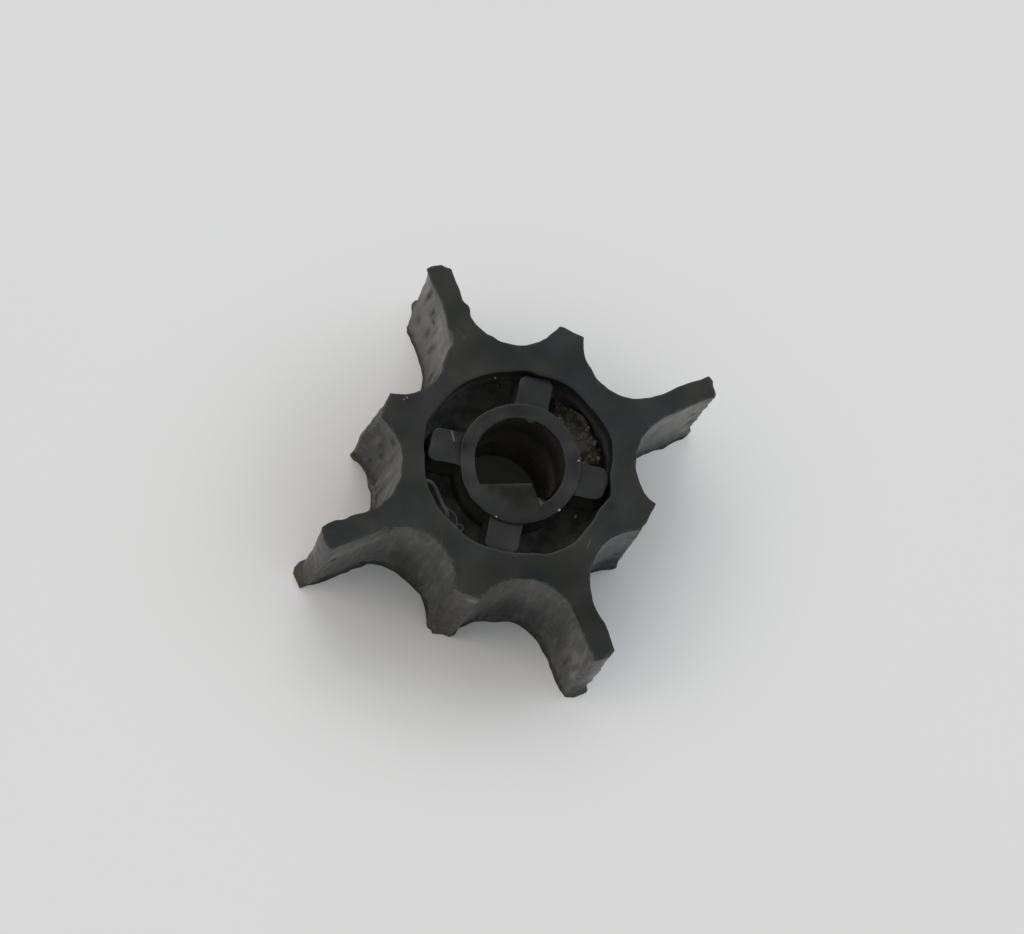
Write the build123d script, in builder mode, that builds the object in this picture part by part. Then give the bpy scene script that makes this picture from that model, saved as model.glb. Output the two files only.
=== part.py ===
from build123d import *
import os
from math import cos, radians, sin

# Flexible pump impeller of the 40 mm class: a rubber star moulded round a rigid hub insert.
# Lengths are in millimetres and angles in degrees. Z is the shaft axis, with the origin on it
# at mid width. +X runs along the first vane, and angles grow anticlockwise seen from above.

# Hub insert
bore_radius = 4.25          # round shaft bore
bore_lead = 0.15            # chamfer at both mouths of the bore
tube_wall = 1.4             # wall of the tube round the bore
tube_edge = 0.2             # chamfer of the tube's outer end edges
face_setback = 0.4          # the tube's ends lie this far inside the rubber's faces
lug_count = 4
lug_turn = 54.2             # direction of the first lug
lug_width = 3.15
lug_corner = 0.6            # rounding of a lug's outer corners
lug_root = 0.3              # fillet where a lug leaves the tube
lug_drop = 0.3              # a lug's ends lie this far below the tube's ends
lug_gap = 0.35              # open slit between a lug's end and the rubber ring

# Drive flat, which makes the bore D-shaped
flat_turn = -110.0          # direction from the axis to the middle of the flat
flat_rise = 2.37            # how far the flat stands in from the bore wall
flat_lead = 0.85            # rounding of the flat at both mouths of the bore
chip_start = 1.05           # at the upper mouth, the flat is broken off from here
                            # to its anticlockwise end
chip_slant = 0.15           # the break leans outward by this much at the bore wall
chip_depth = 3.2            # down from the tube's end

# Rubber body
width = 16.0                # face to face
pocket_width = 3.15         # between the tube and the rubber ring
mouth_edge = 0.15           # chamfer of the pockets' mouths
web_thickness = 5.4         # web that grips the insert at mid width
web_root = 0.25             # chamfer between the web and the ring
ring_wall = 1.95            # thinnest rubber, at the bottom of a gap between vanes
vane_thickness = 2.05
vane_length = 9.15          # outside the ring, for a vane that kept its length
stub_length = 2.55          # outside the ring, for a vane that was torn off
moulded_edge = 0.2          # chamfer of the two faces' edges

# Rubbing wear on the long vanes' tips. The pump's liner left a lip at the lower face.
wear_depth = 0.58           # off the tip's radius along the worn band
upper_wear = 0.12           # off the tip's radius at the upper face
upper_ramp = 2.5            # height of the slope between those two
lip_height = 1.2            # unworn lip
lip_ramp = 0.9              # height of the slope from the band out to the lip

# Torn vane ends. A line crosses the vane from its clockwise to its anticlockwise side, as
# points (outward from the vane's nominal end, sideways from its middle plane). The torn face
# is ruled between the line at the upper face and the line at the lower face.
tear_side = 3.5             # what is torn away reaches this far to each side of the vane
tear_margin = 1.0           # and this far past the faces and past the tips
bent_vane_lean = -1.0       # the third vane has taken a set, clockwise of its place

vane_ends = [
    # length, lean, line at the upper face, line at the lower face
    (vane_length, 0.0,
     [(-0.75, -1.05), (-0.40, -0.75), (-0.22, 0.60), (-0.50, 1.00)],
     [(-0.10, -1.05), (0.05, -0.80), (0.00, 0.40), (-0.20, 0.95)]),
    (stub_length, 0.0,
     [(-0.30, -1.45), (0.09, -0.91), (0.15, 1.10), (-0.15, 1.40)],
     [(-0.20, -1.40), (0.15, -0.50), (-0.20, 0.40), (0.10, 1.25)]),
    (vane_length, bent_vane_lean,
     [(-0.95, -1.05), (-0.45, -0.85), (-0.03, 0.62), (-1.10, 1.00)],
     [(0.00, -1.00), (-0.40, -0.05), (-1.50, 0.15), (-1.90, 0.85)]),
    (stub_length, 0.0,
     [(-0.20, -1.50), (-0.03, -1.30), (-0.02, 0.20), (-0.08, 1.15)],
     [(0.05, -1.35), (0.12, -0.20), (0.14, 0.98), (-0.43, 1.30)]),
    (vane_length, 0.0,
     [(-0.50, -1.00), (-0.33, -0.53), (-0.25, 0.10), (-0.40, 0.95)],
     [(-0.33, -1.00), (-0.10, -0.32), (0.13, 0.51), (-0.50, 0.98)]),
    (stub_length, 0.0,
     [(-0.10, -1.45), (0.07, -1.20), (0.07, 0.05), (-0.04, 1.25)],
     [(0.10, -1.10), (0.53, -0.40), (0.16, 0.36), (0.09, 1.25)]),
    (vane_length, 0.0,
     [(-0.50, -1.00), (-0.25, -0.60), (-0.30, 0.54), (-0.70, 1.00)],
     [(-0.55, -1.05), (-0.08, -0.90), (-0.05, 0.60), (-0.12, 1.05)]),
    (stub_length, 0.0,
     [(-0.90, -1.55), (-0.54, -1.09), (-0.33, 1.20), (-0.75, 1.45)],
     [(-1.30, -1.60), (-0.22, -0.90), (-0.20, 0.40), (-0.40, 1.30)]),
]

# Sizes that follow from the ones above
tube_radius = bore_radius + tube_wall
tube_half = width / 2 - face_setback
lug_half = tube_half - lug_drop
recess_radius = tube_radius + pocket_width
lug_reach = recess_radius - lug_gap
ring_radius = recess_radius + ring_wall
tip_radius = ring_radius + vane_length
blank_radius = tip_radius + tear_margin
flat_distance = bore_radius - flat_rise
vane_step = 360 / len(vane_ends)
vane_turns = [place * vane_step + lean for place, (_, lean, _, _) in enumerate(vane_ends)]


def vane_gap(opening):
    """Gap between two vanes that stand this many degrees apart, opening along +X.

    Its straight sides are the vanes' flanks. The bottom of the gap is one arc, tangent to
    both flanks and to the outside of the ring.
    """
    spread = sin(radians(opening / 2))
    half_vane = vane_thickness / 2
    arc_radius = (ring_radius * spread - half_vane) / (1 - spread)
    apex = half_vane / spread
    side = 2 * blank_radius
    mouth = (apex + side * cos(radians(opening / 2)), side * spread)
    with BuildSketch() as gap:
        with BuildLine():
            Polyline((apex, 0), mouth, (mouth[0], -mouth[1]), close=True)
        make_face()
        fillet(gap.vertices().sort_by(Axis.X)[0], radius=arc_radius)
    return gap.sketch


def torn_off(length, upper_line, lower_line):
    """What is missing from a vane along +X: all that lies outward of the tear."""
    nominal_end = ring_radius + length
    section_height = width / 2 + tear_margin
    far = blank_radius + tear_margin
    with BuildPart() as waste:
        for height, line in ((section_height, upper_line), (-section_height, lower_line)):
            tear = [(nominal_end + outward, sideways) for outward, sideways in line]
            with BuildSketch(Plane.XY.offset(height)):
                with BuildLine():
                    Polyline(
                        (far, -tear_side),
                        (tear[0][0], -tear_side),
                        *tear,
                        (tear[-1][0], tear_side),
                        (far, tear_side),
                        close=True,
                    )
                make_face()
        loft(ruled=True)
    return waste.part


# Section of the insert: a disc with lugs. The rubber web is moulded to the same outline.
with BuildSketch() as insert_section:
    Circle(tube_radius)
    with PolarLocations(0, lug_count, start_angle=lug_turn):
        Rectangle(lug_reach, lug_width, align=(Align.MIN, Align.CENTER))
    roots = insert_section.vertices().sort_by_distance((0, 0))[:2 * lug_count]
    fillet(roots, radius=lug_root)
    corners = insert_section.vertices().sort_by_distance((0, 0))[-2 * lug_count:]
    fillet(corners, radius=lug_corner)

# Drive flat, made towards +X: a segment that closes one side of the bore
with BuildPart() as drive_flat:
    with BuildSketch(Plane.XY.offset(-tube_half)):
        Circle(bore_radius + tube_wall / 2)
        with Locations((flat_distance, 0)):
            Rectangle(2 * tube_radius, 2 * tube_radius, align=(Align.MIN, Align.CENTER),
                      mode=Mode.INTERSECT)
    extrude(amount=2 * tube_half)
    fillet(drive_flat.edges().filter_by(Axis.Y), radius=flat_lead)
    # The corner that broke off
    with BuildSketch(Plane.XY.offset(tube_half)):
        with BuildLine():
            Polyline(
                (0, chip_start),
                (flat_distance, chip_start),
                (bore_radius, chip_start + chip_slant),
                (bore_radius, bore_radius),
                (0, bore_radius),
                close=True,
            )
        make_face()
        Circle(bore_radius, mode=Mode.INTERSECT)
    extrude(amount=-chip_depth, mode=Mode.SUBTRACT)

with BuildPart() as hub_insert:
    # Lugs, then the tube, which stands proud of them at both ends
    add(insert_section.sketch)
    extrude(amount=lug_half, both=True)
    Cylinder(tube_radius, 2 * tube_half)
    tube_ends = hub_insert.edges().filter_by(GeomType.CIRCLE).group_by(Axis.Z)
    chamfer(tube_ends[0] + tube_ends[-1], length=tube_edge)
    Hole(bore_radius)
    chamfer(hub_insert.edges(Select.LAST).filter_by(GeomType.CIRCLE), length=bore_lead)
    add(drive_flat.part, rotation=(0, 0, flat_turn))
hub_insert.part.label = "hub_insert"

turns_on = vane_turns[1:] + [vane_turns[0] + 360]
gaps = [(vane_gap(after - before), (before + after) / 2)
        for before, after in zip(vane_turns, turns_on)]
tears = [(torn_off(length, upper_line, lower_line), turn)
         for (length, _, upper_line, lower_line), turn in zip(vane_ends, vane_turns)]

with BuildPart() as rubber_body:
    # Star: a round blank with the gaps between the vanes taken out
    with BuildSketch(Plane.XY.offset(-width / 2)):
        Circle(blank_radius)
        for gap, turn in gaps:
            add(gap, rotation=turn, mode=Mode.SUBTRACT)
    extrude(amount=width)
    face_edges = rubber_body.faces().filter_by(Axis.Z).edges()
    blank_edges = face_edges.filter_by(GeomType.CIRCLE).group_by(SortBy.RADIUS)[-1]
    chamfer(face_edges - blank_edges, length=moulded_edge)

    # Pockets at both ends, and between them the web, open where the insert goes through
    Hole(recess_radius)
    chamfer(rubber_body.edges(Select.LAST).filter_by(GeomType.CIRCLE), length=mouth_edge)
    with BuildSketch(Plane.XY.offset(-web_thickness / 2)):
        Circle(recess_radius)
        add(insert_section.sketch, mode=Mode.SUBTRACT)
    extrude(amount=web_thickness)
    web_rims = rubber_body.edges(Select.LAST).filter_by(GeomType.CIRCLE)
    chamfer(web_rims.group_by(SortBy.RADIUS)[-1], length=web_root)

    # Vane ends as the pump left them: worn round the tips, then torn
    with BuildSketch(Plane.XZ):
        with BuildLine():
            Polyline(
                (blank_radius + tear_margin, width / 2 + tear_margin),
                (tip_radius - upper_wear, width / 2 + tear_margin),
                (tip_radius - upper_wear, width / 2),
                (tip_radius - wear_depth, width / 2 - upper_ramp),
                (tip_radius - wear_depth, lip_height + lip_ramp - width / 2),
                (tip_radius, lip_height - width / 2),
                (tip_radius, -width / 2 - tear_margin),
                (blank_radius + tear_margin, -width / 2 - tear_margin),
                close=True,
            )
        make_face()
    revolve(axis=Axis.Z, mode=Mode.SUBTRACT)
    for waste, turn in tears:
        add(waste, rotation=(0, 0, turn), mode=Mode.SUBTRACT)
rubber_body.part.label = "rubber_body"

os.makedirs("parts", exist_ok=True)
export_step(hub_insert.part, "parts/hub_insert.step")
export_step(rubber_body.part, "parts/rubber_body.step")
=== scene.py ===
import math

import bmesh
import bpy
import numpy as np
from mathutils import Matrix, Vector


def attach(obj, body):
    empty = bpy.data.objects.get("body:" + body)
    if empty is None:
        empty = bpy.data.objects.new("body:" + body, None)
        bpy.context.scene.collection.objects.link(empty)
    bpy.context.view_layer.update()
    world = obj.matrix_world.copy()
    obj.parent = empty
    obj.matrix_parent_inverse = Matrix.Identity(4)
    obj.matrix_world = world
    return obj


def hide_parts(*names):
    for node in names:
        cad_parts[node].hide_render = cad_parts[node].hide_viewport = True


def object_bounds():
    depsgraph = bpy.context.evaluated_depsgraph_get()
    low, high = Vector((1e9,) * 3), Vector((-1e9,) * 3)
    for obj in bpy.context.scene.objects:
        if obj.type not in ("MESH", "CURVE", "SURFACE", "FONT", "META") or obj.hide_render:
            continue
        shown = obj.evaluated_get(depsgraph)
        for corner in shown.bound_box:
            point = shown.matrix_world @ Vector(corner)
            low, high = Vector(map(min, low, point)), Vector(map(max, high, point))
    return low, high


# A worn flexible pump impeller, lying on a pale table.
# +Z is the shaft axis, the origin is on it at mid width, and +X runs along the first vane.
# Shapes are worked out in millimetres, and go into their meshes in metres.

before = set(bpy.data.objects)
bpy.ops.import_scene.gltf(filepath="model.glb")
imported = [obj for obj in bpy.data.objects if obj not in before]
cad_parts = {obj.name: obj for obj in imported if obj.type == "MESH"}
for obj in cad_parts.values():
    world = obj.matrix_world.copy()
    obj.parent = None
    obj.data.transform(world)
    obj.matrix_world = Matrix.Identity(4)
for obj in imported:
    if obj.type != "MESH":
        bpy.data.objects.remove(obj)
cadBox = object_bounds()
cadLow, cadHigh = (np.array(corner) * 1000 for corner in cadBox)
halfWidth = cadHigh[2]
print("stage: frame loaded")


def smoothStep(x):
    # 0 below 0, 1 above 1, and 3x^2 - 2x^3 between
    x = np.clip(x, 0, 1)
    return x * x * (3 - 2 * x)


def rise(value, start, width):
    # 0 up to the start, and smoothly to 1 over the width
    return smoothStep((value - start) / width)


def blendTo(start, end, share):
    # start plus the share of the way to end
    return start + (end - start) * share


def steps(count):
    # a column of count equal steps up to 1, without 0
    return np.linspace(0, 1, count + 1)[1:, None]


def joinRows(angle, parts):
    # the parts' rows after each other, an array for each value, spread over the columns
    spread = [np.broadcast_arrays(*part, angle)[:-1] for part in parts]
    return [np.concatenate(rows) for rows in zip(*spread)]


def polar(radius, turn, height):
    # x = radius * cos(turn) and y = radius * sin(turn), with the height
    x, y = radius * np.cos(turn), radius * np.sin(turn)
    return np.stack([x, y, np.broadcast_to(height, x.shape)], -1)


def latticeNoise(points, cell, seed):
    # random values from -1 to 1 at the corners of cubes cell mm wide, blended smoothly
    # between; a sine bends the cubes, or they would show as a weave
    count, bend, waves = 4096, 0.32, 1.7
    values = np.random.default_rng(seed).uniform(-1, 1, count)
    scaled = points / cell + 100
    scaled = scaled + bend * np.sin(waves * scaled[..., [1, 2, 0]] + seed)
    corner = np.floor(scaled).astype(np.int64)
    share = smoothStep(scaled - corner)
    total = np.zeros(points.shape[:-1])
    for step in np.ndindex(2, 2, 2):
        x, y, z = np.moveaxis(corner + np.array(step), -1, 0)
        weight = np.prod(np.where(np.array(step) == 1, share, 1 - share), axis=-1)
        total += weight * values[(x * 73856093 ^ y * 19349663 ^ z * 83492791) % count]
    return total


def shiftNoise(points, cell, seeds):
    # a noise for x and one for y
    return np.stack([latticeNoise(points, cell, seed) for seed in seeds], -1)


def nearTo(points, place, across, along):
    # 1 at a place, falling off with distance like a bell, across mm in x and y, along in z
    reach = ((points[..., 0] - place[0]) ** 2 + (points[..., 1] - place[1]) ** 2) / across ** 2
    return np.exp(-reach - (points[..., 2] - place[2]) ** 2 / along ** 2)


def pushBy(shift, points, lumps):
    # adds each lump's shift in x and y, times its bell
    for *place, across, along, dx, dy in lumps:
        shift += nearTo(points, place, across, along)[..., None] * np.array((dx, dy))


def strongest(points, places, sign=1):
    # the greatest of sign * amount * bell over the places, and never below 0
    found = np.zeros(points.shape[:-1])
    for *place, across, along, amount in places:
        found = np.maximum(found, nearTo(points, place, across, along) * amount * sign)
    return found


def addObject(name, data):
    made = bpy.data.objects.new(name, data)
    bpy.context.scene.collection.objects.link(made)
    return made


def meshPiece(name, grids, maskNames, material, creaseDeg=40):
    # Each grid is (points, masks): rows x columns x 3 in mm, and a value for each mask's name.
    # Quads join neighbours, and merging points that coincide closes the seams between grids.
    merge, collapse = 2e-6, 1e-7    # metres
    points, faces, masks, start = [], [], [], 0
    for place, mask in grids:
        rows, columns = place.shape[:2]
        index = start + np.arange(rows * columns).reshape(rows, columns)
        quads = np.stack([index[:-1, :-1], index[:-1, 1:], index[1:, 1:], index[1:, :-1]], -1)
        faces.append(quads.reshape(-1, 4))
        points.append(place.reshape(-1, 3))
        masks.append(mask.reshape(-1, len(maskNames)))
        start += rows * columns
    points, masks = np.concatenate(points), np.concatenate(masks)
    mesh = bpy.data.meshes.new(name)
    mesh.from_pydata((points / 1000).tolist(), [], np.concatenate(faces).tolist())
    for number, maskName in enumerate(maskNames):
        layer = mesh.attributes.new(maskName, "FLOAT", "POINT")
        layer.data.foreach_set("value", masks[:, number].astype(np.float32))
    cleaner = bmesh.new()
    cleaner.from_mesh(mesh)
    bmesh.ops.remove_doubles(cleaner, verts=cleaner.verts, dist=merge)
    bmesh.ops.dissolve_degenerate(cleaner, edges=cleaner.edges, dist=collapse)
    bmesh.ops.recalc_face_normals(cleaner, faces=cleaner.faces)
    openEdges = sum(not edge.is_manifold for edge in cleaner.edges)
    cleaner.to_mesh(mesh)
    cleaner.free()
    mesh.polygons.foreach_set("use_smooth", np.ones(len(mesh.polygons), bool))
    mesh.set_sharp_from_angle(angle=math.radians(creaseDeg))
    mesh.materials.append(material)
    piece = addObject(name, mesh)
    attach(piece, "root")
    print("stage:", name, len(mesh.polygons), "faces,", openEdges, "open edges")
    return piece


def linearColor(hexText):
    # sRGB hex to linear, channel by channel
    shown = np.array([int(hexText[at:at + 2], 16) for at in (1, 3, 5)]) / 255
    linear = np.where(shown <= 0.04045, shown / 12.92, ((shown + 0.055) / 1.055) ** 2.4)
    return (*linear.tolist(), 1.0)


def perMetre(sizeMm):
    # a texture's scale from the size of its features
    return 1000 / sizeMm


def addNode(tree, kind, values=None):
    # Values are properties by name, and inputs by name or number: each a constant or its
    # source, which is a socket, or a node for the first of its outputs that is in use.
    node = tree.nodes.new("ShaderNode" + kind)
    for key, value in (values or {}).items():
        if isinstance(value, bpy.types.Node):
            value = next(socket for socket in value.outputs if socket.enabled)
        if isinstance(value, bpy.types.NodeSocket):
            tree.links.new(value, node.inputs[key])
        elif isinstance(key, str) and hasattr(node, key):
            setattr(node, key, value)
        else:
            node.inputs[key].default_value = value
    return node


# a mix node's inputs: its share, its two values and its two colours
mixShare, valueA, valueB, colorA, colorB = 0, 2, 3, 6, 7


def newMaterial(name, look, patterns, masks=()):
    # a material and what it is mixed by: noise of each size in its look, and its mesh's masks
    material = bpy.data.materials.new(name)
    material.use_nodes = True
    tree = material.node_tree
    tree.nodes.clear()
    place = addNode(tree, "TexCoord").outputs["Object"]
    noises = [addNode(tree, "TexNoise",
                      {"Scale": perMetre(look[pattern + "Mm"]), "Detail": look["detail"],
                       "Roughness": look["fractal"], "Vector": place}) for pattern in patterns]
    fields = [addNode(tree, "Attribute", {"attribute_name": mask}).outputs["Fac"] for mask in masks]
    return material, tree, place, noises, fields


def paintLayers(tree, look, base, layers):
    # Colours over a base. A layer is its colour, the mask it keeps to, if any, the pattern in
    # it, the pattern's values for none and for most of it, and how much most is.
    color = linearColor(look[base])
    for name, where, pattern, none, most, amount in layers:
        share = addNode(tree, "MapRange", {"From Min": none, "From Max": most,
                                           "To Max": amount, "Value": pattern})
        if where is not None:
            share = addNode(tree, "Math", {"operation": "MULTIPLY", 0: where, 1: share})
        color = addNode(tree, "Mix", {"data_type": "RGBA", mixShare: share,
                                      colorA: color, colorB: linearColor(look[name])})
    return color


def finishMaterial(tree, look, height, values):
    # the surface, with fine bumps from a height
    bump = addNode(tree, "Bump", {"Strength": look["bump"],
                                  "Distance": look["bumpMm"] / 1000,
                                  "Height": height})
    shader = addNode(tree, "BsdfPrincipled", {**values, "Normal": bump})
    addNode(tree, "OutputMaterial", {"Surface": shader})


# Camera: a long lens from above, turned a little
shot = dict(
    lookAt=(-0.882, -0.135, 8.0), distance=1332.0,    # mm
    azimuth=-59.756, elevation=73.783, roll=37.108,   # degrees
    lens=514.34, sensor=36.0, near=0.05, far=10.0,    # mm, mm, m, m
)


def placeCamera():
    data = bpy.data.cameras.new("camera")
    data.sensor_width, data.lens = shot["sensor"], shot["lens"]
    data.clip_start, data.clip_end = shot["near"], shot["far"]
    camera = addObject("camera", data)
    turn = (Matrix.Rotation(math.radians(shot["azimuth"]), 4, "Z")
            @ Matrix.Rotation(math.radians(90 - shot["elevation"]), 4, "X")
            @ Matrix.Rotation(math.radians(shot["roll"]), 4, "Z"))
    back = turn.to_3x3() @ Vector((0, 0, 1))
    place = (Vector(shot["lookAt"]) + back * shot["distance"]) / 1000
    camera.matrix_world = Matrix.Translation(place) @ turn
    bpy.context.scene.camera = camera


placeCamera()


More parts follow.
